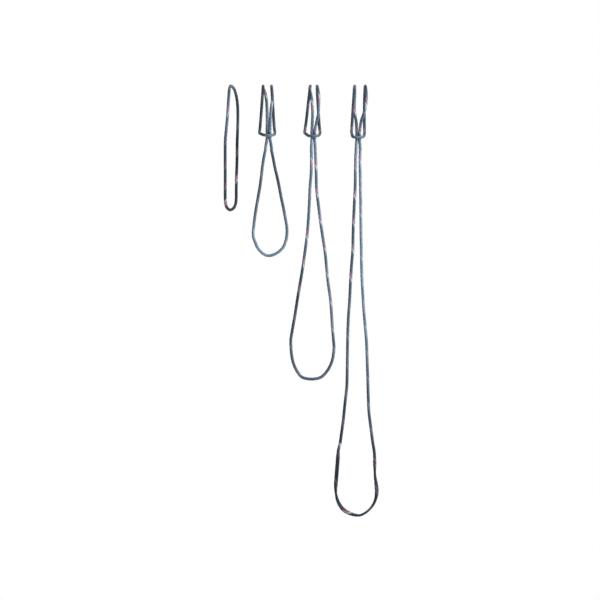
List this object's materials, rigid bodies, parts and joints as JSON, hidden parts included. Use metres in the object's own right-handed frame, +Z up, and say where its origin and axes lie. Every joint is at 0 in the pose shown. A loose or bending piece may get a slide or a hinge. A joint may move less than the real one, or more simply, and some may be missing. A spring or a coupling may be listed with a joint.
{
  "type": "anchor sling",
  "caption": "Endless braided-cord anchor slings in graded lengths, hung side by side on one round anchor: the shortest draped, the others girth-hitched, the longest showing its splice.",
  "frame": {"origin": "on the axis of the round anchor that the slings hang on, about midway along the row", "axes": "+X along the anchor from the shortest sling to the longest, -Y towards the front where the collars cross, +Z up"},
  "size_m": [0.3405, 0.1092, 0.9521],
  "materials": {
    "braided_sheath": "dyed braid, slightly glossy",
    "core_fibre": "undyed fibre"
  },
  "bodies": {
    "hitches": {"sling_2_hitch_sheath": "braided_sheath", "sling_2_hitch_core": "core_fibre", "sling_3_hitch_sheath": "braided_sheath", "sling_3_hitch_core": "core_fibre", "sling_4_hitch_sheath": "braided_sheath", "sling_4_hitch_core": "core_fibre"},
    "sling_1": {"sling_1_sheath": "braided_sheath", "sling_1_core": "core_fibre"},
    "neck_2": {"sling_2_neck_left_sheath": "braided_sheath", "sling_2_neck_left_core": "core_fibre", "sling_2_neck_right_sheath": "braided_sheath", "sling_2_neck_right_core": "core_fibre"},
    "loop_2": {"sling_2_loop_sheath": "braided_sheath", "sling_2_loop_core": "core_fibre"},
    "neck_3": {"sling_3_neck_left_sheath": "braided_sheath", "sling_3_neck_left_core": "core_fibre", "sling_3_neck_right_sheath": "braided_sheath", "sling_3_neck_right_core": "core_fibre"},
    "loop_3": {"sling_3_loop_sheath": "braided_sheath", "sling_3_loop_core": "core_fibre"},
    "neck_4": {"sling_4_neck_left_sheath": "braided_sheath", "sling_4_neck_left_core": "core_fibre", "sling_4_neck_right_sheath": "braided_sheath", "sling_4_neck_right_core": "core_fibre"},
    "loop_4": {"sling_4_left_leg_sheath": "braided_sheath", "sling_4_left_leg_core": "core_fibre", "sling_4_right_leg_sheath": "braided_sheath", "sling_4_right_leg_core": "core_fibre", "sling_4_splice_cover": "braided_sheath"}
  },
  "joints": [
    {"name": "sling_1_swing", "type": "hinge", "parent": "hitches", "child": "sling_1", "pos_m": [-0.15184, 0, 0], "axis": [1, 0, 0], "range_deg": [-30, 30]},
    {"name": "neck_2_swing", "type": "hinge", "parent": "hitches", "child": "neck_2", "pos_m": [-0.06951, -0.02, -0.06455], "axis": [1, 0, 0], "range_deg": [-60, 60]},
    {"name": "loop_2_twist", "type": "hinge", "parent": "neck_2", "child": "loop_2", "pos_m": [-0.06951, -0.02, -0.08755], "axis": [0, 0, 1], "range_deg": [-90, 90]},
    {"name": "neck_3_swing", "type": "hinge", "parent": "hitches", "child": "neck_3", "pos_m": [0.02899, -0.02, -0.06605], "axis": [1, 0, 0], "range_deg": [-60, 60]},
    {"name": "loop_3_twist", "type": "hinge", "parent": "neck_3", "child": "loop_3", "pos_m": [0.02899, -0.02, -0.08905], "axis": [0, 0, 1], "range_deg": [-90, 90]},
    {"name": "neck_4_swing", "type": "hinge", "parent": "hitches", "child": "neck_4", "pos_m": [0.12759, -0.02, -0.06855], "axis": [1, 0, 0], "range_deg": [-60, 60]},
    {"name": "loop_4_twist", "type": "hinge", "parent": "neck_4", "child": "loop_4", "pos_m": [0.12759, -0.02, -0.09155], "axis": [0, 0, 1], "range_deg": [-90, 90]}
  ]
}
